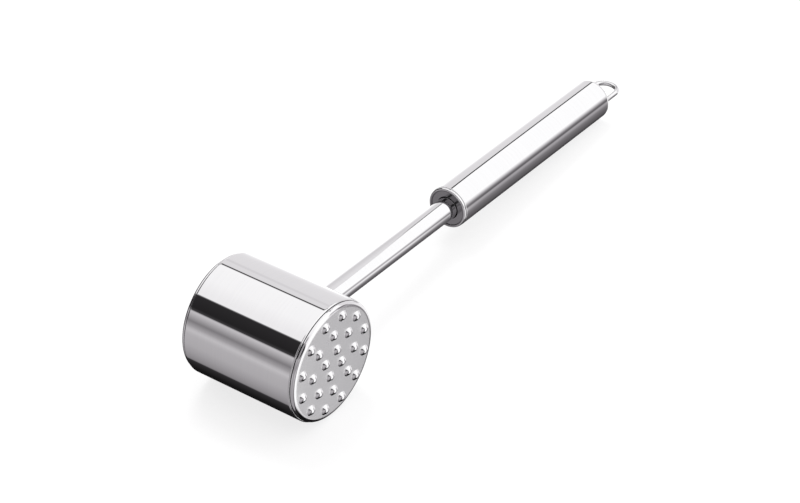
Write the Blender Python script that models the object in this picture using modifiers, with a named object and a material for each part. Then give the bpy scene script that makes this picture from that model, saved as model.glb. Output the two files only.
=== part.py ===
"""Meat mallet: a round steel head with one nubbed and one smooth striking face, on a hollow handle.

Run in Blender 4.5. Lengths are in metres, and +Z is up. The pieces are placed on the mallet's own
axes: X along the head, towards the nubbed face, and Y along the handle, away from the head. One
empty then lays the whole mallet down as it rests, on its head's side and its handle's far end.
"""

import math

import bmesh
import bpy
from mathutils import Matrix, Vector

# Joints between pieces
joint_gap = 0.0003
cut_overrun = 0.002

# Head, measured over the flat of both striking faces
head_length = 0.063
head_diameter = 0.058
shell_wall = 0.002
shell_edge_round = 0.0006

# Striking caps
cap_diameter = 0.0568
cap_corner = 0.0017
cap_land = 0.0002
cap_plate = 0.0025
cap_skirt_wall = 0.0018
cap_skirt_depth = 0.008
cap_skirt_chamfer = 0.0005

# Nubs, in three rings: how many, how far from the middle, and how far each ring is turned
nub_diameter = 0.0052
nub_height = 0.0016
nub_root = 0.0008
inner_nubs = 4
middle_nubs = 8
outer_nubs = 12
inner_nub_radius = 0.0063
middle_nub_radius = 0.0148
outer_nub_radius = 0.0228
inner_turn_share = 0.75
middle_turn_share = 0.0
outer_turn_share = 0.5

# Weight inside the head
weight_chamfer = 0.0012

# Shaft and the pin that locks it in the weight
shaft_diameter = 0.011
shaft_past_head_axis = 0.008
shaft_inside_handle = 0.034
shaft_chamfer = 0.0008
pin_diameter = 0.004
pin_length = 0.024
pin_chamfer = 0.0005

# Handle tube, measured from the head's axis
handle_start = 0.132
handle_end = 0.260
tube_diameter = 0.021
tube_wall = 0.001
tube_edge_round = 0.0002

# Front cap of the handle
bead_stand = 0.0016
bead_inset = 0.0001
bead_outer_round = 0.0009
bead_crest = 0.0001
bead_inner_round = 0.0005
front_dish = 0.0006
front_plate = 0.0012
front_skirt_wall = 0.001
front_skirt_depth = 0.006

# Disc that steadies the shaft inside the handle
disc_from_mouth = 0.026
disc_thickness = 0.004
disc_chamfer = 0.0004

# Rear cap of the handle
rear_corner = 0.0025
rear_plate = 0.0015
rear_skirt_wall = 0.001
rear_skirt_depth = 0.006

# Hanging loop, bent from round wire
loop_wire = 0.0025
loop_reach = 0.0183
loop_leg_inside = 0.007
leg_hole_margin = 0.00015

# Fineness of the round forms, in steps
head_segments = 72
handle_segments = 48
shaft_segments = 32
pin_segments = 16
nub_segments = 12
dome_steps = 3
corner_steps = 3
loop_steps = 16
wire_resolution = 2
merge_distance = 0.000001
smooth_angle = math.radians(30)

# Sizes that follow from those above
head_radius = head_diameter / 2
bore_radius = head_radius - shell_wall
face_height = head_length / 2
flange_foot = face_height - cap_corner - cap_land
shell_half_length = flange_foot - joint_gap
cap_radius = cap_diameter / 2
skirt_radius = bore_radius - joint_gap
skirt_end = flange_foot - cap_skirt_depth
shaft_radius = shaft_diameter / 2
shaft_hole_radius = shaft_radius + joint_gap
tube_radius = tube_diameter / 2
tube_bore_radius = tube_radius - tube_wall
insert_radius = tube_bore_radius - joint_gap
wire_radius = loop_wire / 2
rear_skirt_bore = insert_radius - rear_skirt_wall
leg_spread = rear_skirt_bore - leg_hole_margin - joint_gap - wire_radius
loop_tip = handle_end + loop_reach - wire_radius

# The mallet's own axes, as turns of a piece that is made upright
along_x = (0.0, math.pi / 2, 0.0)
against_x = (0.0, -math.pi / 2, 0.0)
along_y = (-math.pi / 2, 0.0, 0.0)
against_y = (math.pi / 2, 0.0, 0.0)


def empty_the_scene():
    """Take out every object, so that only the mallet is left."""
    for old in list(bpy.data.objects):
        bpy.data.objects.remove(old, do_unlink=True)


def new_collection(name):
    """A collection in the scene."""
    made = bpy.data.collections.new(name)
    bpy.context.scene.collection.children.link(made)
    return made


def steel(name, colour, roughness, metallic=1.0):
    """One piece's material."""
    made = bpy.data.materials.new(name)
    made.use_nodes = True
    shader = made.node_tree.nodes["Principled BSDF"]
    shader.inputs["Base Color"].default_value = (*colour, 1.0)
    shader.inputs["Roughness"].default_value = roughness
    shader.inputs["Metallic"].default_value = metallic
    made.diffuse_color = (*colour, 1.0)
    return made


def arc(centre, radius, start_degrees, end_degrees):
    """Points of a rounding, from its first angle to its last, as (radius, height) pairs."""
    points = []
    for step in range(corner_steps + 1):
        turn = start_degrees + (end_degrees - start_degrees) * step / corner_steps
        angle = math.radians(turn)
        points.append((centre[0] + radius * math.cos(angle), centre[1] + radius * math.sin(angle)))
    return points


def turned_mesh(name, outline, segments, ring):
    """The outline turned once round the Z axis. A ring's outline closes on itself."""
    profile = bpy.data.meshes.new(name + "_outline")
    edges = [(i, i + 1) for i in range(len(outline) - 1)]
    if ring:
        edges.append((len(outline) - 1, 0))
    profile.from_pydata([(r, 0.0, z) for r, z in outline], edges, [])
    holder = bpy.data.objects.new(name + "_outline", profile)
    bpy.context.scene.collection.objects.link(holder)
    screw = holder.modifiers.new("Turn", "SCREW")
    screw.axis = "Z"
    screw.angle = math.tau
    screw.steps = segments
    screw.render_steps = segments
    screw.use_merge_vertices = True
    screw.merge_threshold = merge_distance
    graph = bpy.context.evaluated_depsgraph_get()
    mesh = bpy.data.meshes.new_from_object(holder.evaluated_get(graph))
    bpy.data.objects.remove(holder, do_unlink=True)
    bpy.data.meshes.remove(profile)
    mesh.name = name
    return mesh


def smooth(mesh):
    """Shade round sides smooth, and leave edges sharper than the limit crisp."""
    mesh.polygons.foreach_set("use_smooth", [True] * len(mesh.polygons))
    mesh.set_sharp_from_angle(angle=smooth_angle)


def piece(name, mesh, material, turn=(0.0, 0.0, 0.0)):
    """A named piece of the mallet, turned onto one of its axes."""
    smooth(mesh)
    mesh.materials.clear()
    mesh.materials.append(material)
    made = bpy.data.objects.new(name, mesh)
    mallet.objects.link(made)
    made.rotation_euler = turn
    made.parent = lay_down
    return made


def helper(name, mesh, turn=(0.0, 0.0, 0.0)):
    """A shape that only cuts or joins, kept out of the render."""
    made = bpy.data.objects.new(name, mesh)
    helpers.objects.link(made)
    made.rotation_euler = turn
    made.parent = lay_down
    made.hide_render = True
    made.display_type = "WIRE"
    return made


def rod_mesh(name, radius, low, high, segments):
    """A plain round rod along Z, from one height to another."""
    rod = bmesh.new()
    bmesh.ops.create_cone(
        rod,
        cap_ends=True,
        segments=segments,
        radius1=radius,
        radius2=radius,
        depth=high - low,
        matrix=Matrix.Translation((0.0, 0.0, (low + high) / 2)),
    )
    mesh = bpy.data.meshes.new(name)
    rod.to_mesh(mesh)
    rod.free()
    return mesh


def chamfered_rod_outline(radius, low, high, chamfer):
    """A round rod with both ends chamfered."""
    return [
        (0.0, high),
        (radius - chamfer, high),
        (radius, high - chamfer),
        (radius, low + chamfer),
        (radius - chamfer, low),
        (0.0, low),
    ]


def cut(target, cutter, label, operation="DIFFERENCE"):
    """Cut a helper from a piece, or join it on. The helper's own shapes may run into each other."""
    boolean = target.modifiers.new(label, "BOOLEAN")
    boolean.operation = operation
    boolean.solver = "EXACT"
    boolean.use_self = True
    boolean.object = cutter


def cap_outline():
    """A pressed striking cap: plate, rounded flange over the shell's end, and skirt inside it."""
    corner_centre = (cap_radius - cap_corner, face_height - cap_corner)
    inner_radius = skirt_radius - cap_skirt_wall
    outline = [(0.0, face_height)]
    outline += arc(corner_centre, cap_corner, 90, 0)
    outline += [
        (cap_radius, flange_foot),
        (skirt_radius, flange_foot),
        (skirt_radius, skirt_end + cap_skirt_chamfer),
        (skirt_radius - cap_skirt_chamfer, skirt_end),
        (inner_radius, skirt_end),
        (inner_radius, face_height - cap_plate),
        (0.0, face_height - cap_plate),
    ]
    return outline


def nub_mesh():
    """One domed nub, with a root that reaches into the plate."""
    base = nub_diameter / 2
    dome_radius = (base**2 + nub_height**2) / (2 * nub_height)
    dome_centre = nub_height - dome_radius
    half_angle = math.asin(base / dome_radius)
    outline = []
    for step in range(dome_steps + 1):
        angle = half_angle * step / dome_steps
        outline.append((dome_radius * math.sin(angle), dome_centre + dome_radius * math.cos(angle)))
    outline += [(base, -nub_root), (0.0, -nub_root)]
    return turned_mesh("nub", outline, nub_segments, ring=False)


def nub_field():
    """All the nubs in their rings, as one mesh that stands on the cap's face."""
    rings = (
        (inner_nubs, inner_nub_radius, inner_turn_share),
        (middle_nubs, middle_nub_radius, middle_turn_share),
        (outer_nubs, outer_nub_radius, outer_turn_share),
    )
    nub = nub_mesh()
    field = bmesh.new()
    for count, radius, turn_share in rings:
        for number in range(count):
            angle = math.tau * (number + turn_share) / count
            copy = nub.copy()
            across = Vector((-radius * math.sin(angle), radius * math.cos(angle), face_height))
            copy.transform(Matrix.Translation(across))
            field.from_mesh(copy)
            bpy.data.meshes.remove(copy)
    mesh = bpy.data.meshes.new("nub_field")
    field.to_mesh(mesh)
    field.free()
    bpy.data.meshes.remove(nub)
    return mesh


def shell_outline():
    """The head's tube, with its outer edges rounded over."""
    edge = head_radius - shell_edge_round
    height = shell_half_length - shell_edge_round
    outline = [(bore_radius, shell_half_length)]
    outline += arc((edge, height), shell_edge_round, 90, 0)
    outline += arc((edge, -height), shell_edge_round, 0, -90)
    outline.append((bore_radius, -shell_half_length))
    return outline


def weight_outline():
    """A cast weight that fills the bore and steps in to back both plates inside the skirts."""
    neck = skirt_radius - cap_skirt_wall - joint_gap
    neck_end = face_height - cap_plate - joint_gap
    shoulder = skirt_end - joint_gap
    return [
        (0.0, neck_end),
        (neck - weight_chamfer, neck_end),
        (neck, neck_end - weight_chamfer),
        (neck, shoulder),
        (skirt_radius, shoulder),
        (skirt_radius, -shoulder),
        (neck, -shoulder),
        (neck, -neck_end + weight_chamfer),
        (neck - weight_chamfer, -neck_end),
        (0.0, -neck_end),
    ]


def tube_outline():
    """The handle's tube, from its mouth to the rear cap's joint, with its outer edges eased."""
    tube_end = handle_end - rear_corner - joint_gap
    edge = tube_radius - tube_edge_round
    return [
        (tube_bore_radius, tube_end),
        (edge, tube_end),
        (tube_radius, tube_end - tube_edge_round),
        (tube_radius, handle_start + tube_edge_round),
        (edge, handle_start),
        (tube_bore_radius, handle_start),
    ]


def front_cap_outline():
    """The handle's front cap, measured from the tube's mouth towards the head."""
    outer = tube_radius - bead_inset
    bead_foot = outer - bead_outer_round - bead_crest - bead_inner_round
    face = bead_stand - front_dish
    skirt_inner = insert_radius - front_skirt_wall
    inner_centre = (bead_foot + bead_inner_round, bead_stand - bead_inner_round)
    outer_centre = (outer - bead_outer_round, bead_stand - bead_outer_round)
    outline = [(shaft_hole_radius, face), (bead_foot, face)]
    outline += arc(inner_centre, bead_inner_round, 180, 90)
    outline += arc(outer_centre, bead_outer_round, 90, 0)
    outline += [
        (outer, joint_gap),
        (insert_radius, joint_gap),
        (insert_radius, -front_skirt_depth),
        (skirt_inner, -front_skirt_depth),
        (skirt_inner, face - front_plate),
        (shaft_hole_radius, face - front_plate),
    ]
    return outline


def disc_outline():
    """A bored disc that fits the handle's tube, with its outer edges chamfered."""
    low = handle_start + disc_from_mouth
    high = low + disc_thickness
    return [
        (shaft_hole_radius, high),
        (insert_radius - disc_chamfer, high),
        (insert_radius, high - disc_chamfer),
        (insert_radius, low + disc_chamfer),
        (insert_radius - disc_chamfer, low),
        (shaft_hole_radius, low),
    ]


def rear_cap_outline():
    """The handle's closed end, rounded outside, with a short skirt inside the tube."""
    joint = handle_end - rear_corner
    outline = [(0.0, handle_end)]
    outline += arc((tube_radius - rear_corner, joint), rear_corner, 90, 0)
    outline += [
        (insert_radius, joint),
        (insert_radius, joint - rear_skirt_depth),
        (rear_skirt_bore, joint - rear_skirt_depth),
        (rear_skirt_bore, handle_end - rear_plate),
        (0.0, handle_end - rear_plate),
    ]
    return outline


def loop_mesh():
    """The hanging loop's wire, bent into a U whose legs enter the rear cap."""
    leg_end = handle_end - loop_leg_inside
    bend_start = loop_tip - leg_spread
    path = [(leg_spread, leg_end)]
    for step in range(loop_steps + 1):
        angle = math.pi * step / loop_steps
        path.append((leg_spread * math.cos(angle), bend_start + leg_spread * math.sin(angle)))
    path.append((-leg_spread, leg_end))
    curve = bpy.data.curves.new("hanging_loop_wire", "CURVE")
    curve.dimensions = "3D"
    curve.bevel_depth = wire_radius
    curve.bevel_resolution = wire_resolution
    curve.use_fill_caps = True
    spline = curve.splines.new("POLY")
    spline.points.add(len(path) - 1)
    for point, (x, y) in zip(spline.points, path):
        point.co = (x, y, 0.0, 1.0)
    holder = bpy.data.objects.new("hanging_loop_wire", curve)
    bpy.context.scene.collection.objects.link(holder)
    graph = bpy.context.evaluated_depsgraph_get()
    mesh = bpy.data.meshes.new_from_object(holder.evaluated_get(graph))
    bpy.data.objects.remove(holder, do_unlink=True)
    bpy.data.curves.remove(curve)
    mesh.name = "hanging_loop"
    welded = bmesh.new()
    welded.from_mesh(mesh)
    bmesh.ops.remove_doubles(welded, verts=welded.verts, dist=merge_distance)
    welded.to_mesh(mesh)
    welded.free()
    return mesh


def resting_tilt():
    """How far the handle dips when its rounded end and the head's side both touch the ground."""
    reach = handle_end - rear_corner
    drop = tube_radius - rear_corner
    rise = head_radius - rear_corner
    return math.asin(rise / math.hypot(reach, drop)) - math.atan2(drop, reach)


empty_the_scene()
mallet = new_collection("meat_mallet")
helpers = new_collection("cutters")
helpers.hide_render = True

# The empty stands at the head's middle. It puts the mallet's outer box over the ground's origin.
lay_down = bpy.data.objects.new("mallet_rest", None)
mallet.objects.link(lay_down)
tilt = resting_tilt()
far_end = loop_tip * math.cos(tilt) + wire_radius
lay_down.rotation_euler = (-tilt, 0.0, 0.0)
lay_down.location = (-nub_height / 2, (head_radius - far_end) / 2, head_radius)

# Head shell, with the hole where the shaft goes in
shell = piece(
    "head_shell",
    turned_mesh("head_shell", shell_outline(), head_segments, ring=True),
    steel("polished_shell_steel", (0.80, 0.80, 0.82), 0.08),
    along_x,
)
shell_hole = helper(
    "shell_shaft_hole",
    rod_mesh(
        "shell_shaft_hole",
        shaft_hole_radius,
        bore_radius - cut_overrun,
        head_radius + cut_overrun,
        shaft_segments,
    ),
    along_y,
)
cut(shell, shell_hole, "Shaft hole")

# Striking caps: the nubbed one faces along X, and the smooth one faces the other way
nubbed_cap = piece(
    "nubbed_striking_cap",
    turned_mesh("nubbed_striking_cap", cap_outline(), head_segments, ring=False),
    steel("satin_nubbed_cap_steel", (0.70, 0.70, 0.72), 0.22),
    along_x,
)
cut(nubbed_cap, helper("nubs", nub_field(), along_x), "Nubs", "UNION")
piece(
    "smooth_striking_cap",
    turned_mesh("smooth_striking_cap", cap_outline(), head_segments, ring=False),
    steel("satin_smooth_cap_steel", (0.70, 0.70, 0.72), 0.18),
    against_x,
)

# Weight inside the head, bored for the shaft's end and across it for the lock pin
weight = piece(
    "head_weight",
    turned_mesh("head_weight", weight_outline(), head_segments, ring=False),
    steel("cast_iron", (0.12, 0.12, 0.13), 0.6),
    along_x,
)
weight_bore = helper(
    "weight_shaft_bore",
    rod_mesh(
        "weight_shaft_bore",
        shaft_hole_radius,
        -shaft_past_head_axis - joint_gap,
        skirt_radius + cut_overrun,
        shaft_segments,
    ),
    along_y,
)
pin_hole_reach = face_height + cut_overrun
pin_hole = helper(
    "pin_hole",
    rod_mesh(
        "pin_hole",
        pin_diameter / 2 + joint_gap,
        -pin_hole_reach,
        pin_hole_reach,
        pin_segments,
    ),
    along_x,
)
cut(weight, weight_bore, "Shaft bore")
cut(weight, pin_hole, "Pin hole")

# Shaft, from inside the weight to inside the handle, cross-drilled for the pin
shaft = piece(
    "shaft",
    turned_mesh(
        "shaft",
        chamfered_rod_outline(
            shaft_radius,
            -shaft_past_head_axis,
            handle_start + shaft_inside_handle,
            shaft_chamfer,
        ),
        shaft_segments,
        ring=False,
    ),
    steel("polished_shaft_steel", (0.78, 0.78, 0.80), 0.08),
    along_y,
)
cut(shaft, pin_hole, "Pin hole")
piece(
    "shaft_lock_pin",
    turned_mesh(
        "shaft_lock_pin",
        chamfered_rod_outline(pin_diameter / 2, -pin_length / 2, pin_length / 2, pin_chamfer),
        pin_segments,
        ring=False,
    ),
    steel("hardened_pin_steel", (0.45, 0.45, 0.47), 0.35),
    along_x,
)

# Handle: tube, front cap round the shaft, steadying disc inside, and rounded rear cap
piece(
    "handle_tube",
    turned_mesh("handle_tube", tube_outline(), handle_segments, ring=True),
    steel("polished_tube_steel", (0.80, 0.80, 0.82), 0.08),
    along_y,
)
front_cap = piece(
    "handle_front_cap",
    turned_mesh("handle_front_cap", front_cap_outline(), handle_segments, ring=True),
    steel("polished_front_cap_steel", (0.62, 0.62, 0.64), 0.12),
    against_y,
)
front_cap.location = (0.0, handle_start, 0.0)
piece(
    "shaft_steady_disc",
    turned_mesh("shaft_steady_disc", disc_outline(), handle_segments, ring=True),
    steel("plain_disc_steel", (0.5, 0.5, 0.52), 0.35),
    along_y,
)
rear_cap = piece(
    "handle_rear_cap",
    turned_mesh("handle_rear_cap", rear_cap_outline(), handle_segments, ring=False),
    steel("polished_rear_cap_steel", (0.80, 0.80, 0.82), 0.08),
    along_y,
)
for side, label in ((leg_spread, "right"), (-leg_spread, "left")):
    leg_hole = helper(
        label + "_leg_hole",
        rod_mesh(
            label + "_leg_hole",
            wire_radius + joint_gap,
            handle_end - rear_plate - cut_overrun,
            handle_end + cut_overrun,
            pin_segments,
        ),
        along_y,
    )
    leg_hole.location = (side, 0.0, 0.0)
    cut(rear_cap, leg_hole, label.capitalize() + " leg hole")

# Hanging loop, fixed in the rear cap
piece("hanging_loop", loop_mesh(), steel("polished_loop_steel", (0.80, 0.80, 0.82), 0.1))
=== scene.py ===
"""A meat mallet of polished stainless steel.

It has a round head with a nubbed face, a round shaft, a hollow grip and a wire loop to hang it by.
"""

import math

import bpy
from mathutils import Matrix, Vector


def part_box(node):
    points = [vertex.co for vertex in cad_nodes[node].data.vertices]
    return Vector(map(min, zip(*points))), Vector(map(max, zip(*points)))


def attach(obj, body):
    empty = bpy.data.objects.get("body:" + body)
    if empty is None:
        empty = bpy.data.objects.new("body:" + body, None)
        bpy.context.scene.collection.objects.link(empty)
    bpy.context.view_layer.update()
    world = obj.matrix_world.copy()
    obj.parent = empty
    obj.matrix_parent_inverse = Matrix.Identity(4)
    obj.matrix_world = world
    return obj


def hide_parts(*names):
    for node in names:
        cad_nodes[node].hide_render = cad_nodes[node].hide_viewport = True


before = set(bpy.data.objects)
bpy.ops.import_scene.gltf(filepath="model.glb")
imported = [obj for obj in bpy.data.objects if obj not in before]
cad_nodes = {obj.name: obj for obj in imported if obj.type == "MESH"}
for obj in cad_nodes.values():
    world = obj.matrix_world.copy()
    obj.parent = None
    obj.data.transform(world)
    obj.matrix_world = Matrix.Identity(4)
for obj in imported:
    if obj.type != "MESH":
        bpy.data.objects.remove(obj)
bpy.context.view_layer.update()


# Head shell
# The middle of the head is a drawn stainless tube, cut to length and polished to a mirror.
# Both of its edges are rolled smooth, and one hole in its side lets the shaft in.
shell_radius = 0.029
shell_bore = 0.027
shell_half = 0.0293
shell_edge = 0.0006
shell_rim = 0.0002
shaft_hole = 0.0058
drill_length = 0.02
same_spot = 0.000002

# The mallet lies on the side of its head and on the far end of its grip, so its handle dips.
shell_low, shell_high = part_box("head_shell")
head_centre = (shell_low + shell_high) / 2
grip_far_end = 0.26
grip_radius = 0.0105
grip_end_round = 0.0025
dip_reach = grip_far_end - grip_end_round
dip_drop = grip_radius - grip_end_round
handle_dip = math.asin((shell_radius - grip_end_round) / math.hypot(dip_reach, dip_drop))
handle_dip -= math.atan2(dip_drop, dip_reach)
mallet_lay = Matrix.Translation(head_centre) @ Matrix.Rotation(-handle_dip, 4, "X")
nubbed_end_lay = mallet_lay @ Matrix.Rotation(math.pi / 2, 4, "Y")
smooth_end_lay = mallet_lay @ Matrix.Rotation(-math.pi / 2, 4, "Y")
handle_lay = mallet_lay @ Matrix.Rotation(-math.pi / 2, 4, "X")


def rounded_corners(corners, steps, hold):
    """The points of a section's line, from its corners as (radius, height, rounding).

    A point on each side, at the hold's distance, keeps the shading of the flats beside a rounding true.
    """
    points = []
    last = len(corners) - 1
    for number, (radius, height, rounding) in enumerate(corners):
        corner = Vector((radius, height))
        if rounding == 0:
            points.append(corner)
            continue
        before = (Vector(corners[number - 1 if number else last][:2]) - corner).normalized()
        after = (Vector(corners[number + 1 if number < last else 0][:2]) - corner).normalized()
        half = before.angle(after) / 2
        reach = rounding / math.tan(half)
        middle = corner + (before + after).normalized() * rounding / math.sin(half)
        start = corner + before * reach
        end = corner + after * reach
        points.append(start + before * hold)
        from_middle = start - middle
        sweep = from_middle.angle_signed(end - middle)
        for step in range(steps + 1):
            turned = from_middle.copy()
            turned.rotate(Matrix.Rotation(-sweep * step / steps, 2))
            points.append(middle + turned)
        points.append(end + after * hold)
    return [(point.x, point.y) for point in points]


def turn_on_lathe(name, section, around):
    """Draws the section as a chain of points beside the upright axis, and turns it once round."""
    bpy.ops.object.select_all(action="DESELECT")
    bpy.ops.mesh.primitive_plane_add(size=0.001, location=(0, 0, 0))
    turned = bpy.context.object
    turned.name = name
    turned.data.name = name
    bpy.ops.object.mode_set(mode="EDIT")
    bpy.ops.mesh.select_mode(type="VERT")
    bpy.ops.mesh.select_all(action="SELECT")
    bpy.ops.mesh.merge(type="CENTER")
    bpy.ops.transform.translate(value=(section[0][0], 0, section[0][1]))
    for old, new in zip(section, section[1:]):
        step = (new[0] - old[0], 0, new[1] - old[1])
        bpy.ops.mesh.extrude_region_move(TRANSFORM_OT_translate={"value": step})
    bpy.ops.mesh.select_all(action="SELECT")
    bpy.ops.mesh.spin(steps=around, angle=math.tau, center=(0, 0, 0), axis=(0, 0, 1))
    bpy.ops.mesh.select_all(action="SELECT")
    bpy.ops.mesh.remove_doubles(threshold=same_spot)
    bpy.ops.mesh.normals_make_consistent(inside=False)
    bpy.ops.object.mode_set(mode="OBJECT")
    return turned


def put_in_place(piece, lay):
    """Moves the piece from the bench, where it stood upright, to its place on the mallet."""
    bpy.ops.object.select_all(action="DESELECT")
    piece.select_set(True)
    bpy.context.view_layer.objects.active = piece
    bpy.ops.object.transform_apply(location=True, rotation=True, scale=True)
    piece.matrix_world = lay
    bpy.ops.object.transform_apply(location=True, rotation=True, scale=True)
    bpy.ops.object.shade_smooth_by_angle(angle=math.radians(40))


def add_node(tree, kind, across, down, **settings):
    """One node at its place in the tree, with its settings."""
    made = tree.nodes.new(kind)
    made.location = (across * 200, -down * 180)
    for setting, value in settings.items():
        setattr(made, setting, value)
    return made


# Fine polishing lines run round the axis of a turned piece, on its sides and on its flat ends.
fine_line_scale = (90, 90, 5200)
broad_line_scale = (35, 35, 900)
polishing_lines = bpy.data.node_groups.new("polishing_lines", "ShaderNodeTree")
polishing_lines.interface.new_socket("Vector", in_out="INPUT", socket_type="NodeSocketVector")
polishing_lines.interface.new_socket("Height", in_out="OUTPUT", socket_type="NodeSocketFloat")
polishing_lines.interface.new_socket("Streaks", in_out="OUTPUT", socket_type="NodeSocketFloat")
tree = polishing_lines
entry = add_node(tree, "NodeGroupInput", 0, 0)
split = add_node(tree, "ShaderNodeSeparateXYZ", 1, 0)
tree.links.new(entry.outputs["Vector"], split.inputs[0])
flat = add_node(tree, "ShaderNodeVectorMath", 1, 1, operation="MULTIPLY")
flat.inputs[1].default_value = (1, 1, 0)
tree.links.new(entry.outputs["Vector"], flat.inputs[0])
out_from_axis = add_node(tree, "ShaderNodeVectorMath", 2, 1, operation="LENGTH")
tree.links.new(flat.outputs["Vector"], out_from_axis.inputs[0])
along = add_node(tree, "ShaderNodeMath", 3, 0, operation="SUBTRACT")
tree.links.new(split.outputs["Z"], along.inputs[0])
tree.links.new(out_from_axis.outputs["Value"], along.inputs[1])
track = add_node(tree, "ShaderNodeCombineXYZ", 4, 0)
tree.links.new(split.outputs["X"], track.inputs["X"])
tree.links.new(split.outputs["Y"], track.inputs["Y"])
tree.links.new(along.outputs["Value"], track.inputs["Z"])
fine_track = add_node(tree, "ShaderNodeVectorMath", 5, 0, operation="MULTIPLY")
fine_track.inputs[1].default_value = fine_line_scale
tree.links.new(track.outputs["Vector"], fine_track.inputs[0])
fine_lines = add_node(tree, "ShaderNodeTexNoise", 6, 0)
fine_lines.inputs["Scale"].default_value = 1.0
fine_lines.inputs["Detail"].default_value = 3.0
tree.links.new(fine_track.outputs["Vector"], fine_lines.inputs["Vector"])
broad_track = add_node(tree, "ShaderNodeVectorMath", 5, 1, operation="MULTIPLY")
broad_track.inputs[1].default_value = broad_line_scale
tree.links.new(track.outputs["Vector"], broad_track.inputs[0])
broad_lines = add_node(tree, "ShaderNodeTexNoise", 6, 1)
broad_lines.inputs["Scale"].default_value = 1.0
broad_lines.inputs["Detail"].default_value = 2.0
tree.links.new(broad_track.outputs["Vector"], broad_lines.inputs["Vector"])
leave = add_node(tree, "NodeGroupOutput", 8, 0)
tree.links.new(fine_lines.outputs["Fac"], leave.inputs["Height"])
tree.links.new(broad_lines.outputs["Fac"], leave.inputs["Streaks"])

# Handling leaves faint, uneven patches where the polish is a little duller.
handling_marks = bpy.data.node_groups.new("handling_marks", "ShaderNodeTree")
handling_marks.interface.new_socket("Vector", in_out="INPUT", socket_type="NodeSocketVector")
handling_marks.interface.new_socket("Dullness", in_out="OUTPUT", socket_type="NodeSocketFloat")
tree = handling_marks
entry = add_node(tree, "NodeGroupInput", 0, 0)
patches = add_node(tree, "ShaderNodeTexNoise", 1, 0)
patches.inputs["Scale"].default_value = 55.0
patches.inputs["Detail"].default_value = 4.0
patches.inputs["Roughness"].default_value = 0.6
tree.links.new(entry.outputs["Vector"], patches.inputs["Vector"])
soften = add_node(tree, "ShaderNodeMapRange", 2, 0, interpolation_type="SMOOTHSTEP")
soften.inputs["From Min"].default_value = 0.42
soften.inputs["From Max"].default_value = 0.72
tree.links.new(patches.outputs["Fac"], soften.inputs["Value"])
leave = add_node(tree, "NodeGroupOutput", 3, 0)
tree.links.new(soften.outputs["Result"], leave.inputs["Dullness"])

# A streak of the lines darkens the steel a little, and marks and streaks share in dulling it.
streak_shade = 0.95
mark_part = 0.65
streak_part = 0.35


def turned_steel(name, lay, colour, shine, dull, line_depth):
    """Steel of a turned piece, with polishing lines round its own axis, roughest where it is dull."""
    made = bpy.data.materials.new(name)
    made.use_nodes = True
    tree = made.node_tree
    shader = tree.nodes["Principled BSDF"]
    shader.inputs["Metallic"].default_value = 1.0
    place = add_node(tree, "ShaderNodeTexCoord", -8, 0)
    bench = add_node(tree, "ShaderNodeMapping", -7, 0, vector_type="TEXTURE")
    bench.inputs["Location"].default_value = lay.to_translation()
    bench.inputs["Rotation"].default_value = lay.to_euler()
    tree.links.new(place.outputs["Object"], bench.inputs["Vector"])
    lines = add_node(tree, "ShaderNodeGroup", -6, 0, node_tree=polishing_lines)
    tree.links.new(bench.outputs["Vector"], lines.inputs["Vector"])
    marks = add_node(tree, "ShaderNodeGroup", -6, 1, node_tree=handling_marks)
    tree.links.new(bench.outputs["Vector"], marks.inputs["Vector"])
    tint = add_node(tree, "ShaderNodeMix", -3, 0, data_type="RGBA")
    tint.inputs[6].default_value = (*colour, 1)
    tint.inputs[7].default_value = (*[level * streak_shade for level in colour], 1)
    tree.links.new(lines.outputs["Streaks"], tint.inputs["Factor"])
    tree.links.new(tint.outputs[2], shader.inputs["Base Color"])
    wear = add_node(tree, "ShaderNodeMath", -5, 1, operation="MULTIPLY_ADD")
    wear.inputs[1].default_value = mark_part
    tree.links.new(marks.outputs["Dullness"], wear.inputs[0])
    streak_wear = add_node(tree, "ShaderNodeMath", -5, 2, operation="MULTIPLY")
    streak_wear.inputs[1].default_value = streak_part
    tree.links.new(lines.outputs["Streaks"], streak_wear.inputs[0])
    tree.links.new(streak_wear.outputs["Value"], wear.inputs[2])
    sheen = add_node(tree, "ShaderNodeMapRange", -3, 1)
    sheen.inputs["To Min"].default_value = shine
    sheen.inputs["To Max"].default_value = dull
    tree.links.new(wear.outputs["Value"], sheen.inputs["Value"])
    tree.links.new(sheen.outputs["Result"], shader.inputs["Roughness"])
    relief = add_node(tree, "ShaderNodeBump", -3, 2)
    relief.inputs["Strength"].default_value = 1.0
    relief.inputs["Distance"].default_value = line_depth
    tree.links.new(lines.outputs["Height"], relief.inputs["Height"])
    tree.links.new(relief.outputs["Normal"], shader.inputs["Normal"])
    return made


shell_section = rounded_corners(
    [
        (shell_bore, -shell_half, shell_rim),
        (shell_radius, -shell_half, shell_edge),
        (shell_radius, shell_half, shell_edge),
        (shell_bore, shell_half, shell_rim),
    ],
    steps=6,
    hold=0.0003,
)
head_shell = turn_on_lathe("Head_shell", shell_section + shell_section[:1], around=192)
bpy.ops.object.select_all(action="DESELECT")
bpy.ops.mesh.primitive_cylinder_add(
    vertices=64,
    radius=shaft_hole,
    depth=drill_length,
    location=(0, shell_radius, 0),
    rotation=(math.pi / 2, 0, 0),
)
hole_drill = bpy.context.object
drilling = head_shell.modifiers.new("Shaft hole", "BOOLEAN")
drilling.operation = "DIFFERENCE"
drilling.solver = "EXACT"
drilling.object = hole_drill
bpy.context.view_layer.objects.active = head_shell
bpy.ops.object.modifier_apply(modifier=drilling.name)
bpy.data.objects.remove(hole_drill, do_unlink=True)
put_in_place(head_shell, nubbed_end_lay)
mirror_steel = (0.78, 0.778, 0.784)
shell_steel = turned_steel(
    "Mirror polished shell steel",
    nubbed_end_lay,
    mirror_steel,
    shine=0.012,
    dull=0.028,
    line_depth=0.00000008,
)
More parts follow.
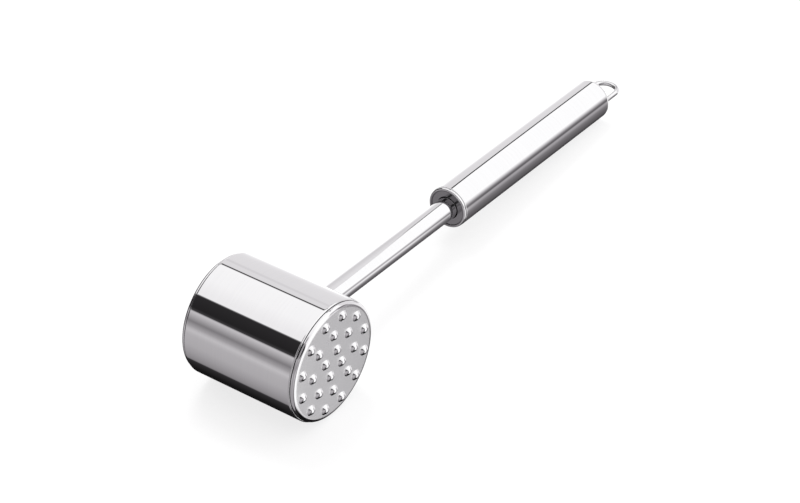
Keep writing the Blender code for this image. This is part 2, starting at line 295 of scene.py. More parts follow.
head_shell.data.materials.append(shell_steel)
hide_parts("head_shell")
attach(head_shell, "root")


# Head weight
# A rough cast iron core fills the head between the two caps, and gives the mallet its heft.
# It is never seen, and keeps the grey skin of the casting.
cast_iron = bpy.data.materials.new("Grey cast iron")
cast_iron.use_nodes = True
tree = cast_iron.node_tree
shader = tree.nodes["Principled BSDF"]
shader.inputs["Metallic"].default_value = 0.85
place = add_node(tree, "ShaderNodeTexCoord", -6, 0)
bench = add_node(tree, "ShaderNodeMapping", -5, 0, vector_type="TEXTURE")
bench.inputs["Location"].default_value = head_centre
tree.links.new(place.outputs["Object"], bench.inputs["Vector"])
casting_skin = add_node(tree, "ShaderNodeTexNoise", -4, 0)
casting_skin.inputs["Scale"].default_value = 900.0
casting_skin.inputs["Detail"].default_value = 6.0
tree.links.new(bench.outputs["Vector"], casting_skin.inputs["Vector"])
iron_tint = add_node(tree, "ShaderNodeValToRGB", -3, 0)
iron_tint.color_ramp.elements[0].position = 0.3
iron_tint.color_ramp.elements[0].color = (0.07, 0.068, 0.066, 1)
iron_tint.color_ramp.elements[1].position = 0.75
iron_tint.color_ramp.elements[1].color = (0.19, 0.185, 0.18, 1)
tree.links.new(casting_skin.outputs["Fac"], iron_tint.inputs["Fac"])
tree.links.new(iron_tint.outputs["Color"], shader.inputs["Base Color"])
iron_sheen = add_node(tree, "ShaderNodeMapRange", -3, 1)
iron_sheen.inputs["To Min"].default_value = 0.5
iron_sheen.inputs["To Max"].default_value = 0.8
tree.links.new(casting_skin.outputs["Fac"], iron_sheen.inputs["Value"])
tree.links.new(iron_sheen.outputs["Result"], shader.inputs["Roughness"])
relief = add_node(tree, "ShaderNodeBump", -3, 2)
relief.inputs["Distance"].default_value = 0.0001
tree.links.new(casting_skin.outputs["Fac"], relief.inputs["Height"])
tree.links.new(relief.outputs["Normal"], shader.inputs["Normal"])
cad_nodes["head_weight"].data.materials.clear()
cad_nodes["head_weight"].data.materials.append(cast_iron)


# Nubbed striking cap
# Pressed from thick stainless plate: a flat face with 24 domed nubs in rings of 4, 8 and 12, a sloped
# rim that covers the shell's end, and a skirt driven into the shell. The flat has a satin polish.
cap_radius = 0.0284
face_height = 0.0315
rim_slope = 20
slope_start = 0.0267
slope_round = 0.004
cap_round = 0.0013
rim_edge = face_height - (cap_radius - slope_start) * math.tan(math.radians(rim_slope))
flange_foot = 0.0296
flange_edge = 0.0001
cap_back = 0.029
skirt_radius = 0.0267
skirt_bore = 0.0249
skirt_end = 0.0216
skirt_outer_edge = 0.0004
skirt_inner_edge = 0.0002
plate_fillet = 0.0008
nub_field_radius = 0.0259
nub_radius = 0.0026
nub_height = 0.0016
nub_root_round = 0.0003
nub_foot = 0.0002
dome_steps = 10
root_steps = 5
nub_rings = [(4, 0.0063, 0.75), (8, 0.0148, 0.0), (12, 0.0228, 0.5)]

cap_section = rounded_corners(
    [
        (nub_field_radius, face_height, 0.0),
        (slope_start, face_height, slope_round),
        (cap_radius, rim_edge, cap_round),
        (cap_radius, flange_foot, flange_edge),
        (skirt_radius, flange_foot, 0.0),
        (skirt_radius, skirt_end, skirt_outer_edge),
        (skirt_bore, skirt_end, skirt_inner_edge),
        (skirt_bore, cap_back, plate_fillet),
        (0.0, cap_back, 0.0),
    ],
    steps=10,
    hold=0.00003,
)
nubbed_cap = turn_on_lathe("Nubbed_striking_cap", cap_section, around=192)

# Each nub is a dome with a small hollow round its root. The flat is then filled in between them.
dome_radius = (nub_radius**2 + nub_height**2) / (2 * nub_height)
dome_middle = nub_height - dome_radius
root_reach = math.sqrt((dome_radius + nub_root_round) ** 2 - (nub_root_round - dome_middle) ** 2)
touch = math.atan2(root_reach, nub_root_round - dome_middle)
nub_section = []
for step in range(dome_steps + 1):
    angle = touch * step / dome_steps
    across = dome_radius * math.sin(angle)
    nub_section.append((across, face_height + dome_middle + dome_radius * math.cos(angle)))
for step in range(1, root_steps + 1):
    angle = touch * (1 - step / root_steps)
    across = root_reach - nub_root_round * math.sin(angle)
    nub_section.append((across, face_height + nub_root_round - nub_root_round * math.cos(angle)))
nub_section.append((root_reach + nub_foot, face_height))
first_nub = turn_on_lathe("Nub", nub_section, around=32)
nubs = []
for count, radius, share in nub_rings:
    for number in range(count):
        angle = math.tau * (number + share) / count
        bpy.ops.object.select_all(action="DESELECT")
        first_nub.select_set(True)
        bpy.context.view_layer.objects.active = first_nub
        bpy.ops.object.duplicate()
        bpy.ops.transform.translate(value=(-radius * math.sin(angle), radius * math.cos(angle), 0))
        nubs.append(bpy.context.object)
bpy.data.objects.remove(first_nub, do_unlink=True)
bpy.ops.object.select_all(action="DESELECT")
for nub in nubs:
    nub.select_set(True)
nubbed_cap.select_set(True)
bpy.context.view_layer.objects.active = nubbed_cap
bpy.ops.object.join()
bpy.ops.object.mode_set(mode="EDIT")
bpy.ops.mesh.select_mode(type="EDGE")
bpy.ops.mesh.select_all(action="DESELECT")
bpy.ops.mesh.select_non_manifold(
    extend=False, use_wire=False, use_multi_face=False, use_non_contiguous=False
)
bpy.ops.mesh.fill(use_beauty=True)
bpy.ops.mesh.select_all(action="SELECT")
bpy.ops.mesh.normals_make_consistent(inside=False)
bpy.ops.object.mode_set(mode="OBJECT")
put_in_place(nubbed_cap, nubbed_end_lay)
satin_steel = (0.74, 0.735, 0.742)
# A slightly lighter tone for the nubs and the rim: a painted highlight.
raised_sheen_steel = (0.78, 0.775, 0.784)
sheen_start = 0.00002
sheen_full = 0.00015
face_steel = turned_steel(
    "Satin nubbed cap steel", nubbed_end_lay, satin_steel, shine=0.2, dull=0.3, line_depth=0.000002
)


def polish_and_tint_part(made, part, colour, shine):
    """Gives the steel another colour and a finer polish where the part's value is 1. The colour change
    is painted: a painted highlight on the nubs and rim, and on the front cap the steel's own colour
    against a painted dark reflection.
    """
    tree = made.node_tree
    shader = tree.nodes["Principled BSDF"]
    tint = add_node(tree, "ShaderNodeMix", -1, 0, data_type="RGBA")
    tint.inputs[7].default_value = (*colour, 1)
    tree.links.new(part, tint.inputs["Factor"])
    tree.links.new(shader.inputs["Base Color"].links[0].from_socket, tint.inputs[6])
    tree.links.new(tint.outputs[2], shader.inputs["Base Color"])
    polish = add_node(tree, "ShaderNodeMix", -1, 1)
    polish.inputs[3].default_value = shine
    tree.links.new(part, polish.inputs["Factor"])
    tree.links.new(shader.inputs["Roughness"].links[0].from_socket, polish.inputs[2])
    tree.links.new(polish.outputs[0], shader.inputs["Roughness"])


# The nubs stand off the flat and the rim falls away from it. Both get a finer polish, and a slightly
# lighter colour that is a painted highlight.
tree = face_steel.node_tree
bench_height = add_node(tree, "ShaderNodeSeparateXYZ", -6, 3)
tree.links.new(tree.nodes["Mapping"].outputs["Vector"], bench_height.inputs[0])
off_flat = add_node(tree, "ShaderNodeMath", -5, 3, operation="SUBTRACT")
off_flat.inputs[1].default_value = face_height
tree.links.new(bench_height.outputs["Z"], off_flat.inputs[0])
off_either_way = add_node(tree, "ShaderNodeMath", -4, 3, operation="ABSOLUTE")
tree.links.new(off_flat.outputs["Value"], off_either_way.inputs[0])
raised_sheen = add_node(tree, "ShaderNodeMapRange", -3, 3, interpolation_type="SMOOTHSTEP")
raised_sheen.inputs["From Min"].default_value = sheen_start
raised_sheen.inputs["From Max"].default_value = sheen_full
tree.links.new(off_either_way.outputs["Value"], raised_sheen.inputs["Value"])
polish_and_tint_part(face_steel, raised_sheen.outputs["Result"], raised_sheen_steel, shine=0.07)
nubbed_cap.data.materials.append(face_steel)
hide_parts("nubbed_striking_cap")
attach(nubbed_cap, "root")


# Smooth striking cap
# The same pressing without nubs closes the head's other end. Its flat face pounds and flattens.
smooth_cap = turn_on_lathe("Smooth_striking_cap", [(0.0, face_height)] + cap_section, around=192)
put_in_place(smooth_cap, smooth_end_lay)
smooth_face_steel = turned_steel(
    "Satin smooth cap steel", smooth_end_lay, satin_steel, shine=0.12, dull=0.18, line_depth=0.000002
)
smooth_cap.data.materials.append(smooth_face_steel)
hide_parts("smooth_striking_cap")
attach(smooth_cap, "root")


# Shaft
# A plain round bar of 11 mm runs from the core of the head to inside the grip.
# It is drawn and then polished along its whole length.
shaft_radius = 0.0055
shaft_low = -0.008
shaft_high = 0.166
shaft_end_cut = 0.0005

shaft_section = rounded_corners(
    [
        (0.0, shaft_high, 0.0),
        (shaft_radius, shaft_high, shaft_end_cut),
        (shaft_radius, shaft_low, shaft_end_cut),
        (0.0, shaft_low, 0.0),
    ],
    steps=4,
    hold=0.0003,
)
shaft = turn_on_lathe("Shaft", shaft_section, around=96)
put_in_place(shaft, handle_lay)
bar_steel = (0.78, 0.778, 0.784)
shaft_steel = turned_steel(
    "Polished shaft steel", handle_lay, bar_steel, shine=0.02, dull=0.04, line_depth=0.00000018
)
shaft.data.materials.append(shaft_steel)
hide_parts("shaft")
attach(shaft, "root")


# Shaft lock pin and steady disc
# A cross pin locks the shaft in the core, and a bored disc holds its other end central in the grip.
# Both are plain machined steel and are never seen.
disc_colour = (0.6, 0.59, 0.58)
pin_colour = (0.45, 0.44, 0.43)
disc_steel = turned_steel(
    "Plain machined steel", handle_lay, disc_colour, shine=0.25, dull=0.4, line_depth=0.00001
)
pin_steel = turned_steel(
    "Hardened pin steel", mallet_lay, pin_colour, shine=0.2, dull=0.35, line_depth=0.00001
)
cad_nodes["shaft_steady_disc"].data.materials.clear()
cad_nodes["shaft_steady_disc"].data.materials.append(disc_steel)
cad_nodes["shaft_lock_pin"].data.materials.clear()
cad_nodes["shaft_lock_pin"].data.materials.append(pin_steel)


# Grip
# A stainless tube of 21 mm with a thin wall, closed at its far end by a domed cap that is
# welded on and polished flush, so no seam shows. Its mouth takes the front cap.
grip_mouth = 0.132
grip_bore = 0.0095
grip_edge = 0.0003
grip_bore_edge = 0.0001
grip_back = 0.2575
grip_back_round = 0.001

grip_section = rounded_corners(
    [
        (0.0, grip_far_end, 0.0),
        (grip_radius, grip_far_end, grip_end_round),
        (grip_radius, grip_mouth, grip_edge),
        (grip_bore, grip_mouth, grip_bore_edge),
        (grip_bore, grip_back, grip_back_round),
        (0.0, grip_back, 0.0),
    ],
    steps=12,
    hold=0.0003,
)
grip = turn_on_lathe("Grip", grip_section, around=128)
put_in_place(grip, handle_lay)
grip_colour = (0.775, 0.773, 0.78)
grip_steel = turned_steel(
    "Polished grip steel", handle_lay, grip_colour, shine=0.012, dull=0.026, line_depth=0.00000009
)
grip.data.materials.append(grip_steel)
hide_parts("handle_tube", "handle_rear_cap")
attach(grip, "root")


# Front cap of the grip
# A turned ring closes the mouth of the grip round the shaft. A bead runs round its rim, and its
# face inside the bead is dished. Its darker grey is painted: it stands in for the dark room it reflects.
bead_stand = 0.0016
bead_radius = 0.0104
dish_depth = 0.0006
bead_foot = 0.0089
bead_inner_round = 0.00045
bead_outer_round = 0.0009
insert_radius = 0.0092
insert_bore = 0.0082
insert_depth = 0.006
front_plate = 0.0012
fine_edge = 0.0001
soft_edge = 0.0002
dish_height = bead_stand - dish_depth

front_section = rounded_corners(
    [
        (shaft_hole, dish_height, soft_edge),
        (bead_foot, dish_height, fine_edge),
        (bead_foot, bead_stand, bead_inner_round),
        (bead_radius, bead_stand, bead_outer_round),
        (bead_radius, 0.0, 0.0),
        (insert_radius, 0.0, 0.0),
        (insert_radius, -insert_depth, soft_edge),
        (insert_bore, -insert_depth, fine_edge),
        (insert_bore, dish_height - front_plate, soft_edge),
        (shaft_hole, dish_height - front_plate, soft_edge),
    ],
    steps=8,
    hold=0.00002,
)
front_cap = turn_on_lathe("Grip_front_cap", front_section + front_section[:1], around=128)
mouth_lay = mallet_lay @ Matrix.Translation((0, grip_mouth, 0)) @ Matrix.Rotation(math.pi / 2, 4, "X")
put_in_place(front_cap, mouth_lay)
# The cap's dark grey is a painted dark reflection, not the steel's own colour.
painted_dark_steel = (0.3, 0.294, 0.305)
bead_steel = (0.78, 0.775, 0.784)
cap_steel = turned_steel(
    "Cap steel with painted dark reflection", mouth_lay, painted_dark_steel, shine=0.14, dull=0.22, line_depth=0.000002
)

# The top of the bead shows the steel's own bright colour and a finer polish, down to just above the seam
# where it meets the grip.
# Inside that, and along the seam, the painted dark grey stays as painted reflection and painted shade.
bright_from = bead_foot + 0.0006
bright_full = bead_foot + 0.0009
seam_shade_full = 0.0002
seam_shade_end = 0.0004
tree = cap_steel.node_tree
across_ring = add_node(tree, "ShaderNodeVectorMath", -6, 3, operation="MULTIPLY")
across_ring.inputs[1].default_value = (1, 1, 0)
tree.links.new(tree.nodes["Mapping"].outputs["Vector"], across_ring.inputs[0])
ring_reach = add_node(tree, "ShaderNodeVectorMath", -5, 3, operation="LENGTH")
tree.links.new(across_ring.outputs["Vector"], ring_reach.inputs[0])
on_bead = add_node(tree, "ShaderNodeMapRange", -4, 3, interpolation_type="SMOOTHSTEP")
on_bead.inputs["From Min"].default_value = bright_from
on_bead.inputs["From Max"].default_value = bright_full
tree.links.new(ring_reach.outputs["Value"], on_bead.inputs["Value"])
ring_height = add_node(tree, "ShaderNodeSeparateXYZ", -6, 4)
tree.links.new(tree.nodes["Mapping"].outputs["Vector"], ring_height.inputs[0])
past_seam_shade = add_node(tree, "ShaderNodeMapRange", -4, 4, interpolation_type="SMOOTHSTEP")
past_seam_shade.inputs["From Min"].default_value = seam_shade_full
past_seam_shade.inputs["From Max"].default_value = seam_shade_end
tree.links.new(ring_height.outputs["Z"], past_seam_shade.inputs["Value"])
unshaded_bead_polish = add_node(tree, "ShaderNodeMath", -3, 3, operation="MULTIPLY")
tree.links.new(on_bead.outputs["Result"], unshaded_bead_polish.inputs[0])
tree.links.new(past_seam_shade.outputs["Result"], unshaded_bead_polish.inputs[1])
polish_and_tint_part(cap_steel, unshaded_bead_polish.outputs["Value"], bead_steel, shine=0.03)
front_cap.data.materials.append(cap_steel)
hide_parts("handle_front_cap")
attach(front_cap, "root")


# Hanging loop
# Stainless wire of 2.5 mm bent to a U. Both legs pass through the end of the grip and are welded
# there, each with a small fillet, so the loop can't swing.
wire_radius = 0.00125
leg_spread = 0.0065
leg_end = 0.253
loop_tip = 0.27705
bend_start = loop_tip - leg_spread
weld_round = 0.0005
weld_rings = 4
wire_reach = wire_radius * 1.1
height_slack = 0.00001


def pick_points(piece, test):
    """In edit mode, selects only the points that pass the test."""
    bpy.ops.mesh.select_mode(type="VERT")
    bpy.ops.mesh.select_all(action="DESELECT")
    bpy.ops.object.mode_set(mode="OBJECT")
    for point in piece.data.vertices:
        point.select = test(point.co)
    bpy.ops.object.mode_set(mode="EDIT")


bpy.ops.object.select_all(action="DESELECT")
bpy.ops.mesh.primitive_circle_add(
    vertices=40, radius=wire_radius, fill_type="NOTHING", location=(leg_spread, 0, bend_start)
)
loop = bpy.context.object
loop.name = "Hanging_loop"
loop.data.name = "Hanging_loop"
bpy.ops.object.transform_apply(location=True, rotation=True, scale=True)
bpy.ops.object.mode_set(mode="EDIT")
bpy.ops.mesh.select_all(action="SELECT")
bpy.ops.mesh.spin(steps=48, angle=math.pi, center=(0, 0, bend_start), axis=(0, 1, 0))
weld_steps = [(bend_start - grip_far_end - weld_round, 1.0)]
for step in range(1, weld_rings + 1):
    angle = math.pi / 2 * step / weld_rings
    last_angle = math.pi / 2 * (step - 1) / weld_rings
    growth = 1 + (1 - math.cos(angle)) * weld_round / wire_radius
    weld_steps.append((weld_round * (math.sin(angle) - math.sin(last_angle)), growth))
for side in (-leg_spread, leg_spread):
    leg_top = Vector((side, 0, bend_start))
    pick_points(
        loop,
        lambda point: abs(point.x - leg_top.x) < wire_reach and abs(point.z - leg_top.z) < height_slack,
    )
    bpy.ops.mesh.select_mode(type="EDGE")
    width = 1.0
    for drop, growth in weld_steps:
        bpy.ops.mesh.extrude_region_move(TRANSFORM_OT_translate={"value": (0, 0, -drop)})
        ratio = growth / width
        bpy.ops.transform.resize(value=(ratio, ratio, 1), center_override=(side, 0, 0))
        width = growth
    bpy.ops.mesh.extrude_region_move(TRANSFORM_OT_translate={"value": (0, 0, 0)})
    bpy.ops.transform.resize(value=(1 / width, 1 / width, 1), center_override=(side, 0, 0))
    bpy.ops.mesh.extrude_region_move(TRANSFORM_OT_translate={"value": (0, 0, leg_end - grip_far_end)})
    bpy.ops.mesh.edge_face_add()
bpy.ops.mesh.select_all(action="SELECT")
bpy.ops.mesh.remove_doubles(threshold=same_spot)
bpy.ops.mesh.normals_make_consistent(inside=False)
bpy.ops.object.mode_set(mode="OBJECT")
put_in_place(loop, handle_lay)
wire_colour = (0.78, 0.778, 0.784)
wire_steel = turned_steel(
    "Polished wire steel", handle_lay, wire_colour, shine=0.05, dull=0.09, line_depth=0.000001
)
loop.data.materials.append(wire_steel)
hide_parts("hanging_loop")
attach(loop, "root")


# Floor
# A plain white sheet that the mallet lies on. It runs far past the view on every side and shows
# the mallet's soft shadow. It glows a little, so that it stays white in a soft light.
floor_size = 12
sheet_colour = (0.3, 0.3, 0.3)
sheet_light = 0.75

bpy.ops.object.select_all(action="DESELECT")
bpy.ops.mesh.primitive_plane_add(size=floor_size, location=(0, 0, 0))
floor = bpy.context.object
floor.name = "Floor"
floor.visible_glossy = False
white_sheet = bpy.data.materials.new("White sheet")
white_sheet.use_nodes = True
tree = white_sheet.node_tree
tree.nodes.clear()
sheet_face = add_node(tree, "ShaderNodeBsdfDiffuse", 0, 0)
sheet_face.inputs["Color"].default_value = (*sheet_colour, 1)
sheet_glow = add_node(tree, "ShaderNodeEmission", 0, 1)
sheet_glow.inputs["Strength"].default_value = sheet_light
sheet_front = add_node(tree, "ShaderNodeAddShader", 1, 0)
tree.links.new(sheet_face.outputs[0], sheet_front.inputs[0])
tree.links.new(sheet_glow.outputs[0], sheet_front.inputs[1])
clear_back = add_node(tree, "ShaderNodeBsdfTransparent", 1, 1)
sheet_side = add_node(tree, "ShaderNodeNewGeometry", 1, 2)
sheet_mix = add_node(tree, "ShaderNodeMixShader", 2, 0)
sheet_out = add_node(tree, "ShaderNodeOutputMaterial", 3, 0)
tree.links.new(sheet_side.outputs["Backfacing"], sheet_mix.inputs[0])
tree.links.new(sheet_front.outputs[0], sheet_mix.inputs[1])
tree.links.new(clear_back.outputs[0], sheet_mix.inputs[2])
tree.links.new(sheet_mix.outputs[0], sheet_out.inputs["Surface"])
floor.data.materials.append(white_sheet)

# A small pale card stands where the flat of the nubbed face looks, and only polished steel shows it.
card_side = 0.084
card_distance = 0.2
card_colour = (0.7, 0.69, 0.705)
card_way = Vector((0.482, 0.592, -0.647)).normalized()
bpy.ops.mesh.primitive_plane_add(
    size=card_side,
    location=head_centre + Vector((face_height, 0, 0)) + card_way * card_distance,
    rotation=card_way.to_track_quat("Z", "Y").to_euler(),
)
front_card = bpy.context.object
front_card.name = "Front_card"
bpy.ops.object.transform_apply(location=True, rotation=True, scale=True)
card_material = bpy.data.materials.new("Pale sheet")
card_material.use_nodes = True
tree = card_material.node_tree
tree.nodes.clear()
card_glow = add_node(tree, "ShaderNodeEmission", 0, 0)
card_glow.inputs["Color"].default_value = (*card_colour, 1)
card_out = add_node(tree, "ShaderNodeOutputMaterial", 1, 0)
tree.links.new(card_glow.outputs[0], card_out.inputs["Surface"])
front_card.data.materials.append(card_material)
front_card.visible_camera = False
front_card.visible_diffuse = False
front_card.visible_shadow = False
front_card.visible_transmission = False


# Studio light
# White and grey cards stand round and over the mallet, with black ones between them, and the steel
# mirrors them as bands. One soft lamp hangs over the upper left for the shadow.
card_white = 1.35
screen_white = 255
grey_lean = 0.06


def card_level(brightness):
    """A card's light, from how bright it looks on screen in the steel. Greys lean a little to violet."""
    share = brightness / screen_white
    light = share / 12.92 if share <= 0.04045 else ((share + 0.055) / 1.055) ** 2.4
    return (light, light * (1 - grey_lean + grey_lean * light), light, 1)


world = bpy.data.worlds.new("Studio")
bpy.context.scene.world = world
world.use_nodes = True
tree = world.node_tree
tree.nodes.clear()

# A way into the room is known by its angle round the handle or the head, and by its reach, which is
# how far it leans along the handle: -1 straight back past the head, 1 straight on past the loop.
sight = add_node(tree, "ShaderNodeTexCoord", 0, 0)
way = add_node(tree, "ShaderNodeSeparateXYZ", 1, 0)
tree.links.new(sight.outputs["Generated"], way.inputs[0])
handle_reach = add_node(tree, "ShaderNodeVectorMath", 1, 2, operation="DOT_PRODUCT")
handle_reach.inputs[1].default_value = (0, math.cos(handle_dip), -math.sin(handle_dip))
tree.links.new(sight.outputs["Generated"], handle_reach.inputs[0])


def card_angle(run, row):
    """The angle round a line, in degrees from -180 to 180, at which a way points."""
    turn = add_node(tree, "ShaderNodeMath", 2, row, operation="ARCTAN2")
    tree.links.new(way.outputs["Z"], turn.inputs[0])
    tree.links.new(way.outputs[run], turn.inputs[1])
    degrees = add_node(tree, "ShaderNodeMath", 3, row, operation="DEGREES")
    tree.links.new(turn.outputs["Value"], degrees.inputs[0])
    return degrees


def card_wall(angle, cards, row):
    """Cards that stand parallel to a line, as stops of (angle in degrees, brightness)."""
    spread = add_node(tree, "ShaderNodeMapRange", 4, row)
    spread.inputs["From Min"].default_value = -180
    spread.inputs["From Max"].default_value = 180
    tree.links.new(angle.outputs["Value"], spread.inputs["Value"])
    wall = add_node(tree, "ShaderNodeValToRGB", 5, row)
    stops = wall.color_ramp.elements
    while len(stops) > 1:
        stops.remove(stops[-1])
    stops[0].position = 0.0
    for number, (degrees, brightness) in enumerate(cards):
        stop = stops[0] if number == 0 else stops.new((degrees + 180) / 360)
        stop.color = card_level(brightness)
    tree.links.new(spread.outputs["Result"], wall.inputs["Fac"])
    return wall


def share_between(source, none_at, all_at, across, row, smooth=True):
    """How far a value has come from the limit that gives 0 to the limit that gives 1."""
    kind = "SMOOTHSTEP" if smooth else "LINEAR"
    share = add_node(tree, "ShaderNodeMapRange", across, row, interpolation_type=kind)
    share.inputs["From Min"].default_value = none_at
    share.inputs["From Max"].default_value = all_at
    tree.links.new(source, share.inputs["Value"])
    return share.outputs["Result"]


def cover(base, card, share, across, row):
    """One card or wall laid over another where the share is 1."""
    laid = add_node(tree, "ShaderNodeMix", across, row, data_type="RGBA")
    tree.links.new(share, laid.inputs["Factor"])
    tree.links.new(base, laid.inputs[6])
    if isinstance(card, tuple):
        laid.inputs[7].default_value = card
    else:
        tree.links.new(card, laid.inputs[7])
    return laid.outputs[2]


def both(first, second, across, row, operation="MULTIPLY"):
    """Two values multiplied, or put together by another sum."""
    made = add_node(tree, "ShaderNodeMath", across, row, operation=operation)
    for number, part in enumerate((first, second)):
        if isinstance(part, float):
            made.inputs[number].default_value = part
        else:
            tree.links.new(part, made.inputs[number])
    return made.outputs["Value"]


round_handle = card_angle("X", row=0)
round_head = card_angle("Y", row=4)
near_wall = card_wall(
    round_handle,
    [
        (-180, 246),
        (-172, 252),
        (-129, 255),
        (-127, 85),
        (-85, 84),
        (-72, 92),
        (-61, 112),
        (-52, 130),
        (-43, 165),
        (-35, 212),
        (-29, 240),
        (-24, 222),
        (-18, 182),
        (-12, 158),
        (-6, 200),
        (0, 248),
        (6, 255),
        (75, 221),
        (107, 219),
        (128, 210),
        (152, 203),
        (158, 209),
        (170, 233),
        (179.9, 246),
    ],
    row=0,
)
far_wall = card_wall(
    round_handle,
    [
        (-180, 226),
        (-169, 243),
        (-160, 253),
        (-129, 255),
        (-127, 66),
        (-92, 66),
        (-80, 88),
        (-66, 96),
        (-54, 109),
        (-43, 123),
        (-34, 150),
        (-28, 162),
        (-24, 158),
        (-20, 108),
        (-16, 94),
        (-11, 116),
        (-4, 162),
        (2, 205),
        (8, 236),
        (13, 254),
        (75, 217),
        (173, 217),
        (179.9, 226),
    ],
    row=1,
)
head_wall = card_wall(
    round_head,
    [
        (-180, 157),
        (-176, 178),
        (-172, 188),
        (-168, 180),
        (-163, 173),
        (-144, 168),
        (-128, 153),
        (-115, 137),
        (-110, 128),
        (-107, 50),
        (-102, 39),
        (-90, 29),
        (-79, 20),
        (-49, 22),
        (-46, 242),
        (-34, 240),
        (-20, 231),
        (-10, 221),
        (0, 217),
        (45, 216),
        (51, 217),
        (52.5, 243),
        (90, 241),
        (115, 233),
        (122.5, 233),
        (124, 42),
        (147, 34),
        (152, 60),
        (154, 192),
        (160, 171),
        (171, 122),
        (179.9, 157),
    ],
    row=4,
)
reach = handle_reach.outputs["Value"]
run_share = share_between(reach, none_at=0.657, all_at=0.738, across=5, row=2, smooth=False)
grip_share = share_between(reach, none_at=0.672, all_at=0.705, across=5, row=3)
handle_walls = cover(near_wall.outputs["Color"], far_wall.outputs["Color"], grip_share, 7, 0)

# The ceiling card ends over the left wall in a slanting edge, with a thin dark gap beside it. Its
# levels are shares of half a turn.
slant = add_node(tree, "ShaderNodeValToRGB", 6, 3)
slant_start = 0.43
slant_end = 0.714
slant_bends = ((0.15, 0.483), (0.29, 0.6), (0.41, 0.656), (0.575, 0.69), (0.72, 0.704), (0.86, 0.71))
slant_stops = slant.color_ramp.elements
slant_stops[0].position = 0.0
slant_stops[0].color = (slant_start, slant_start, slant_start, 1)
slant_stops[1].position = 1.0
slant_stops[1].color = (slant_end, slant_end, slant_end, 1)
for place, level in slant_bends:
    slant_stops.new(place).color = (level, level, level, 1)
tree.links.new(run_share, slant.inputs["Fac"])
ceiling_white = 251
gap_middle = 3.2
gap_black = 35
edge_angle = both(slant.outputs["Color"], 180.0, 7, 3)
past_edge = both(round_handle.outputs["Value"], edge_angle, 8, 3, "SUBTRACT")
over_side = share_between(round_handle.outputs["Value"], none_at=14.0, all_at=20.0, across=8, row=2)
before_edge = share_between(past_edge, none_at=0.8, all_at=-0.8, across=9, row=3)
under_ceiling = both(over_side, before_edge, 10, 2)
handle_walls = cover(handle_walls, card_level(ceiling_white), under_ceiling, 11, 0)
off_gap = both(past_edge, gap_middle, 9, 4, "SUBTRACT")
from_gap = add_node(tree, "ShaderNodeMath", 11, 4, operation="ABSOLUTE")
tree.links.new(off_gap, from_gap.inputs[0])
in_gap = share_between(from_gap.outputs["Value"], none_at=4.6, all_at=3.0, across=12, row=4)
along_grip = share_between(reach, none_at=0.672, all_at=0.685, across=12, row=5)
handle_walls = cover(handle_walls, card_level(gap_black), both(in_gap, along_grip, 13, 4), 13, 0)

# The head mirrors the same room seen along its own axis, with one thin gap of its own.
head_gap_angle = 50.0
head_gap_grey = 60
off_head_gap = both(round_head.outputs["Value"], head_gap_angle, 6, 6, "SUBTRACT")
from_head_gap = add_node(tree, "ShaderNodeMath", 7, 6, operation="ABSOLUTE")
tree.links.new(off_head_gap, from_head_gap.inputs[0])
in_head_gap = share_between(from_head_gap.outputs["Value"], none_at=2.2, all_at=0.8, across=8, row=6)
head_walls = cover(head_wall.outputs["Color"], card_level(head_gap_grey), in_head_gap, 9, 6)

# A mid grey card stands behind the head, between two black ones.
back_grey = 150
behind = share_between(way.outputs["Y"], none_at=-0.3, all_at=-0.4, across=5, row=8)
right_of_black = share_between(way.outputs["X"], none_at=-0.4, all_at=-0.34, across=6, row=8)
left_of_black = share_between(way.outputs["X"], none_at=0.5, all_at=0.44, across=6, row=9)
between_blacks = both(right_of_black, left_of_black, 7, 8)
head_walls = cover(head_walls, card_level(back_grey), both(behind, between_blacks, 8, 8), 10, 6)

# The handle's walls begin where the head's shell no longer looks, a little sooner to either side.
sooner = 0.035
right_of_shell = share_between(way.outputs["X"], none_at=-0.44, all_at=-0.4, across=9, row=7)
left_of_shell = share_between(way.outputs["X"], none_at=-0.54, all_at=-0.58, across=9, row=8)
off_shell = both(right_of_shell, left_of_shell, 10, 7, "ADD")
wide_reach = both(both(off_shell, sooner, 11, 7), reach, 12, 7, "ADD")
walls_begin = share_between(wide_reach, none_at=0.63, all_at=0.638, across=13, row=7)
walls_end = share_between(reach, none_at=0.86, all_at=0.8, across=13, row=8)
walls = cover(head_walls, handle_walls, both(walls_begin, walls_end, 14, 7), 14, 0)

# To the right the room is white, and black only steeply below.
right_black = 15
right_white = 252
to_the_right = share_between(way.outputs["X"], none_at=0.15, all_at=0.3, across=12, row=9)
short_of_handle = share_between(reach, none_at=0.605, all_at=0.59, across=12, row=10)
past_middle = share_between(reach, none_at=0.0, all_at=0.1, across=12, row=10)
ahead = both(short_of_handle, past_middle, 13, 10)
right_wall = add_node(tree, "ShaderNodeValToRGB", 12, 11)
right_stops = right_wall.color_ramp.elements
right_stops[0].position = 0.0
right_stops[0].color = card_level(right_black)
right_stops[1].position = 1.0
right_stops[1].color = card_level(right_white)
for place, brightness in ((0.1, right_black), (0.125, 225), (0.16, right_white)):
    right_stops.new(place).color = card_level(brightness)
height_share = share_between(way.outputs["Z"], none_at=-1.0, all_at=1.0, across=11, row=11, smooth=False)
tree.links.new(height_share, right_wall.inputs["Fac"])
walls = cover(walls, right_wall.outputs["Color"], both(to_the_right, ahead, 13, 9), 15, 0)

# A dark wall closes the far left.
left_dark = 56
to_the_left = share_between(way.outputs["X"], none_at=-0.8, all_at=-0.86, across=12, row=12)
walls = cover(walls, card_level(left_dark), to_the_left, 16, 0)

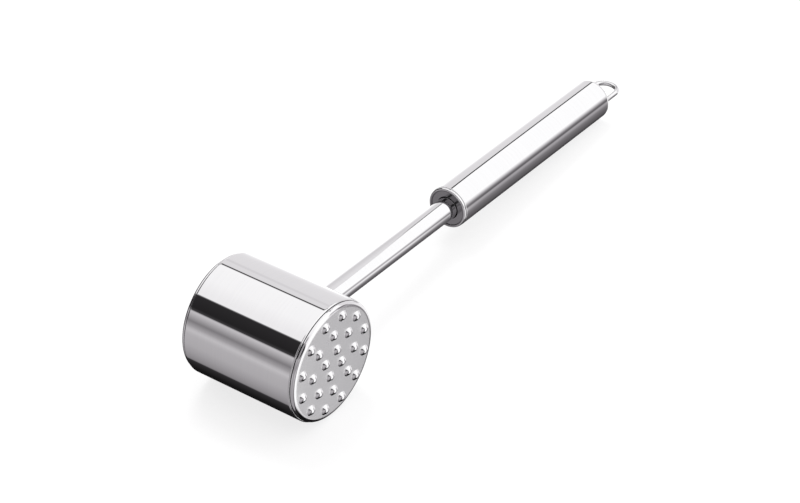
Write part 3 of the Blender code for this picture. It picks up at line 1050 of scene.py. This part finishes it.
# Only the steel shows the cards. Straight from the camera the room is plain white.
card_light = add_node(tree, "ShaderNodeBackground", 17, 0)
card_light.inputs["Strength"].default_value = card_white
tree.links.new(walls, card_light.inputs["Color"])
plain_white = add_node(tree, "ShaderNodeBackground", 17, 1)
plain_white.inputs["Color"].default_value = (1, 1, 1, 1)
plain_white.inputs["Strength"].default_value = 1.0
ray = add_node(tree, "ShaderNodeLightPath", 17, 2)
studio_mix = add_node(tree, "ShaderNodeMixShader", 18, 0)
tree.links.new(ray.outputs["Is Camera Ray"], studio_mix.inputs[0])
tree.links.new(card_light.outputs[0], studio_mix.inputs[1])
tree.links.new(plain_white.outputs[0], studio_mix.inputs[2])
studio_out = add_node(tree, "ShaderNodeOutputWorld", 19, 0)
tree.links.new(studio_mix.outputs[0], studio_out.inputs["Surface"])

lamp_place = Vector((-0.55, 0.35, 1.2))
bpy.ops.object.select_all(action="DESELECT")
bpy.ops.object.light_add(type="AREA", location=lamp_place)
soft_lamp = bpy.context.object
soft_lamp.name = "Soft_lamp"
soft_lamp.data.shape = "SQUARE"
soft_lamp.data.size = 0.5
soft_lamp.data.energy = 6.0
soft_lamp.rotation_euler = (-lamp_place).to_track_quat("-Z", "Y").to_euler()
soft_lamp.visible_camera = False
soft_lamp.visible_glossy = False


# Camera
# A long lens looks down on the nubbed face and along the handle from the near right, more than a
# metre away. The angles are in degrees.
camera_spot = (0.56487, -0.786096, 0.748639)
camera_turn = 36.881
camera_down = 37.789
camera_roll = -1.412

bpy.ops.object.camera_add()
camera = bpy.context.object
camera_place = Matrix.Translation(camera_spot)
camera_place = camera_place @ Matrix.Rotation(math.radians(camera_turn), 4, "Z")
camera_place = camera_place @ Matrix.Rotation(math.radians(90 - camera_down), 4, "X")
camera_place = camera_place @ Matrix.Rotation(math.radians(camera_roll), 4, "Z")
camera.matrix_world = camera_place
camera.data.sensor_fit = "HORIZONTAL"
camera.data.sensor_width = 36
camera.data.lens = 114.83
camera.data.clip_start = 0.01
camera.data.clip_end = 100
bpy.context.scene.camera = camera
bpy.context.scene.view_settings.view_transform = "Standard"
